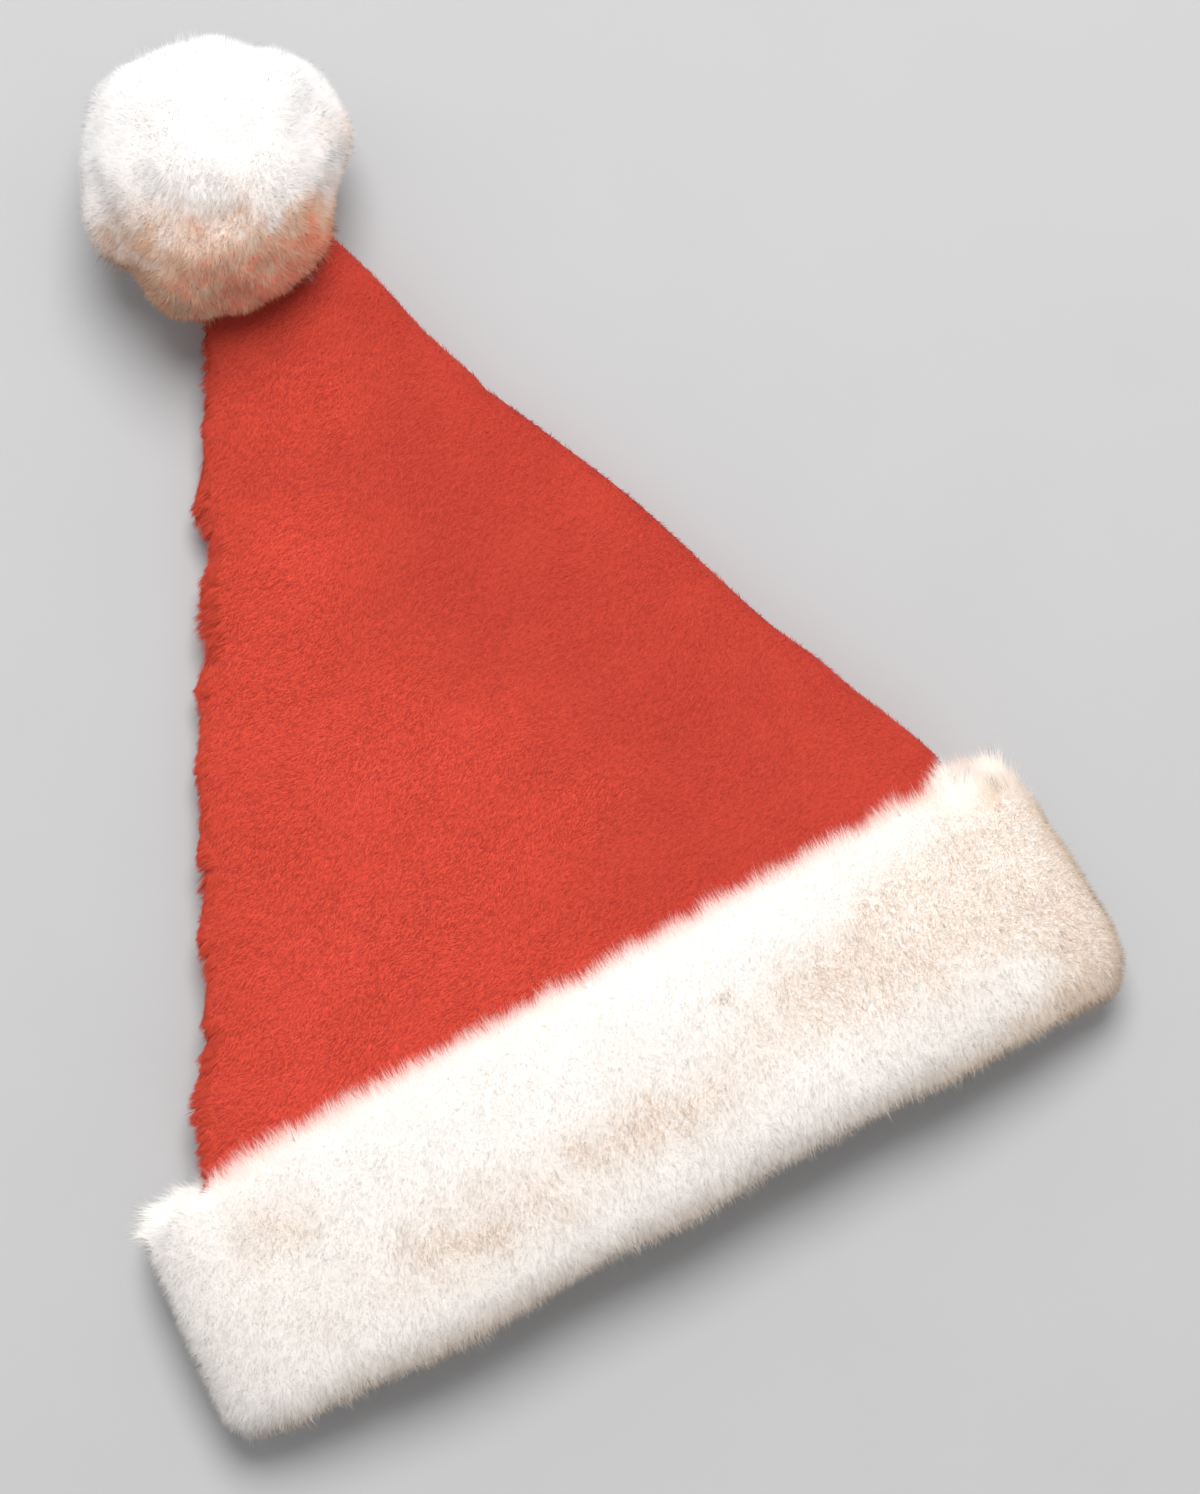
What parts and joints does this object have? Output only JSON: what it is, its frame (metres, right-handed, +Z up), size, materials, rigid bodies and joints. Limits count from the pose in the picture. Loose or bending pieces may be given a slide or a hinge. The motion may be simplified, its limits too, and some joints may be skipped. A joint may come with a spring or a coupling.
{
  "type": "santa hat",
  "caption": "Plush Santa hat lying flat: hollow red cone crown, thick white fur band folded round its open hem, and a white fur pompom over its tip.",
  "frame": {"origin": "on the surface that the hat lies on, under the middle of its bounding box", "axes": "+X across the hat along the band, +Y from the open hem towards the pompom, +Z up from the surface"},
  "size_m": [0.305, 0.3838, 0.075],
  "materials": {
    "red_plush": "short red plush pile, nap brushed towards one side, matt",
    "white_plush": "deep creamy white plush fur, matt",
    "white_fur": "fluffy white plush fur in tufts, matt"
  },
  "bodies": {
    "root": {"crown": "red_plush", "band": "white_plush", "pompom": "white_fur"}
  },
  "joints": []
}
